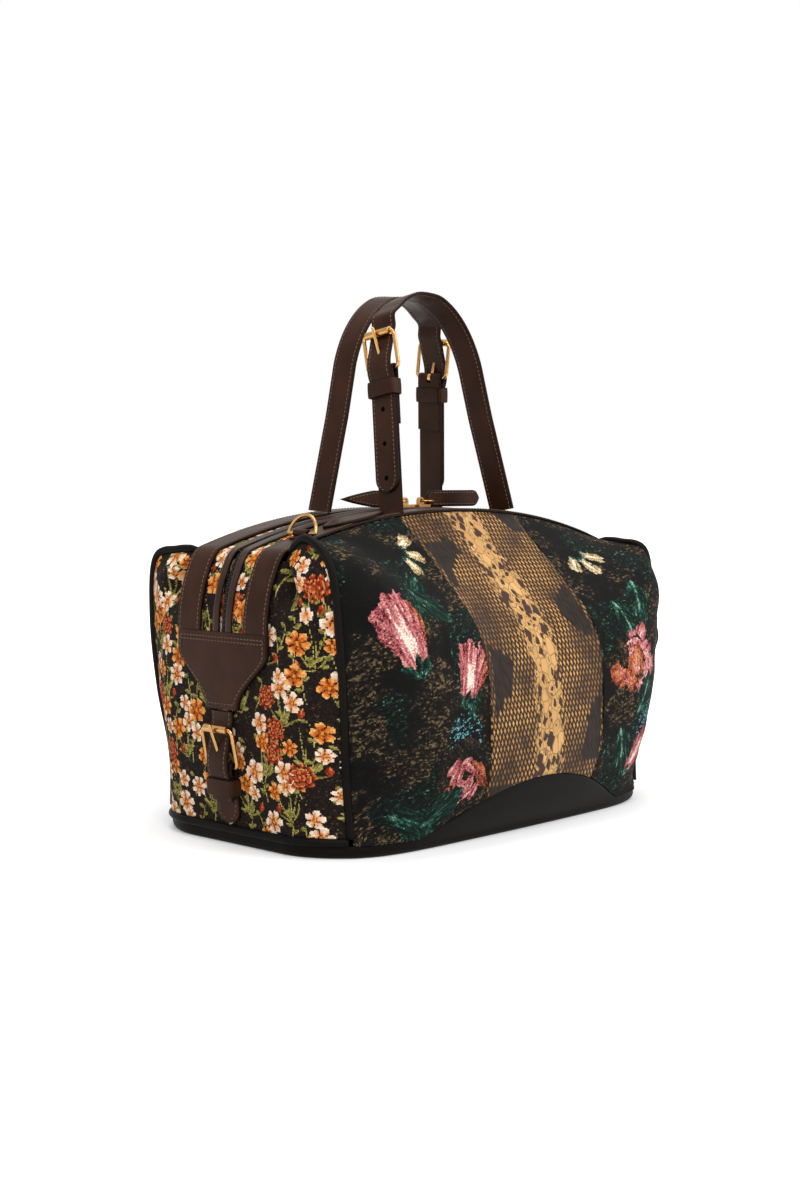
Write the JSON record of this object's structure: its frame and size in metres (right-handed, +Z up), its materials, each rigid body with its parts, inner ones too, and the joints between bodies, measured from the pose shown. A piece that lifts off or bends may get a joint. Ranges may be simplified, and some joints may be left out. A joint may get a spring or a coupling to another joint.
{
  "type": "tote bag",
  "caption": "Soft barrel-shaped tote bag with tapestry and python-print panels, zip top, leather bands, buckled top handles and buckled end straps.",
  "frame": {"origin": "middle of the foot, on the floor", "axes": "+X along the bag to its right end, -Y to its front, +Z up"},
  "size_m": [0.4184, 0.2762, 0.4041],
  "materials": {
    "rose_tapestry": "woven",
    "small_flower_tapestry": "woven",
    "python_print": "satin",
    "brown_leather": "grained",
    "black_leather": "smooth",
    "board": "matte",
    "zip_tape": "matte",
    "gold_metal": "polished"
  },
  "bodies": {
    "bag": {"front_left_panel": "rose_tapestry", "front_centre_panel": "python_print", "front_right_panel": "rose_tapestry", "back_left_panel": "rose_tapestry", "back_centre_panel": "python_print", "back_right_panel": "rose_tapestry", "left_end_panel": "small_flower_tapestry", "right_end_panel": "small_flower_tapestry", "base_panel": "black_leather", "base_board": "board", "left_piping": "black_leather", "right_piping": "black_leather", "zip_chain": "zip_tape", "front_zip_binding": "brown_leather", "back_zip_binding": "brown_leather", "front_zip_strip": "small_flower_tapestry", "back_zip_strip": "small_flower_tapestry", "front_band": "brown_leather", "back_band": "brown_leather", "left_end_patch": "brown_leather", "left_end_strap": "brown_leather", "left_end_chape": "brown_leather", "left_end_keeper": "brown_leather", "left_end_buckle": "gold_metal", "right_end_patch": "brown_leather", "right_end_strap": "brown_leather", "right_end_chape": "brown_leather", "right_end_keeper": "brown_leather", "right_end_buckle": "gold_metal", "front_handle_strap": "brown_leather", "front_handle_chape": "brown_leather", "front_handle_keeper": "brown_leather", "front_handle_buckle": "gold_metal", "front_handle_tab": "brown_leather", "back_handle_strap": "brown_leather", "back_handle_chape": "brown_leather", "back_handle_keeper": "brown_leather", "back_handle_buckle": "gold_metal", "back_handle_tab": "brown_leather", "left_ring_loop": "brown_leather", "right_ring_loop": "brown_leather"},
    "left_slider": {"left_zip_slider": "gold_metal"},
    "right_slider": {"right_zip_slider": "gold_metal"},
    "left_pull": {"left_pull_ring": "gold_metal", "left_pull_tab": "brown_leather"},
    "right_pull": {"right_pull_ring": "gold_metal", "right_pull_tab": "brown_leather"},
    "left_d_ring": {"left_ring": "gold_metal"},
    "right_d_ring": {"right_ring": "gold_metal"},
    "left_end_roller_body": {"left_end_roller": "gold_metal"},
    "left_end_prong_body": {"left_end_prong": "gold_metal"},
    "right_end_roller_body": {"right_end_roller": "gold_metal"},
    "right_end_prong_body": {"right_end_prong": "gold_metal"},
    "front_handle_roller_body": {"front_handle_roller": "gold_metal"},
    "front_handle_prong_body": {"front_handle_prong": "gold_metal"},
    "back_handle_roller_body": {"back_handle_roller": "gold_metal"},
    "back_handle_prong_body": {"back_handle_prong": "gold_metal"}
  },
  "joints": [
    {"name": "right_slider_slide", "type": "slide", "parent": "bag", "child": "right_slider", "axis": [1, 0, 0], "range_m": [0, 0.045]},
    {"name": "left_slider_slide", "type": "slide", "parent": "bag", "child": "left_slider", "axis": [-1, 0, 0], "range_m": [0, 0.045]},
    {"name": "right_pull_swing", "type": "hinge", "parent": "right_slider", "child": "right_pull", "pos_m": [0.009, 0, 0.2435], "axis": [0, -1, 0], "range_deg": [0, 90]},
    {"name": "left_pull_swing", "type": "hinge", "parent": "left_slider", "child": "left_pull", "pos_m": [-0.009, 0, 0.2435], "axis": [0, 1, 0], "range_deg": [0, 90]},
    {"name": "right_d_ring_swing", "type": "hinge", "parent": "bag", "child": "right_d_ring", "pos_m": [0.15181, 0.035, 0.22247], "axis": [0, 1, 0], "range_deg": [-45, 110]},
    {"name": "left_d_ring_swing", "type": "hinge", "parent": "bag", "child": "left_d_ring", "pos_m": [-0.15181, -0.035, 0.22247], "axis": [0, -1, 0], "range_deg": [-45, 110]},
    {"name": "right_end_roller_turn", "type": "hinge", "parent": "bag", "child": "right_end_roller_body", "pos_m": [0.202, 0, 0.08507], "axis": [0, 1, 0], "continuous": true},
    {"name": "right_end_prong_swing", "type": "hinge", "parent": "bag", "child": "right_end_prong_body", "pos_m": [0.19606, 0, 0.05771], "axis": [0, 1, 0], "range_deg": [0, 25]},
    {"name": "left_end_roller_turn", "type": "hinge", "parent": "bag", "child": "left_end_roller_body", "pos_m": [-0.202, 0, 0.08507], "axis": [0, -1, 0], "continuous": true},
    {"name": "left_end_prong_swing", "type": "hinge", "parent": "bag", "child": "left_end_prong_body", "pos_m": [-0.19606, 0, 0.05771], "axis": [0, -1, 0], "range_deg": [0, 25]},
    {"name": "back_handle_roller_turn", "type": "hinge", "parent": "bag", "child": "back_handle_roller_body", "pos_m": [0.05236, 0.02439, 0.37055], "axis": [0, 0.9969, 0.0785], "continuous": true},
    {"name": "back_handle_prong_swing", "type": "hinge", "parent": "bag", "child": "back_handle_prong_body", "pos_m": [0.05104, 0.02659, 0.34267], "axis": [0, 0.9969, 0.0785], "range_deg": [0, 25]},
    {"name": "front_handle_roller_turn", "type": "hinge", "parent": "bag", "child": "front_handle_roller_body", "pos_m": [-0.05236, -0.01385, 0.3693], "axis": [0, -0.9877, 0.1564], "continuous": true},
    {"name": "front_handle_prong_swing", "type": "hinge", "parent": "bag", "child": "front_handle_prong_body", "pos_m": [-0.05104, -0.01823, 0.34168], "axis": [0, -0.9877, 0.1564], "range_deg": [0, 25]}
  ]
}
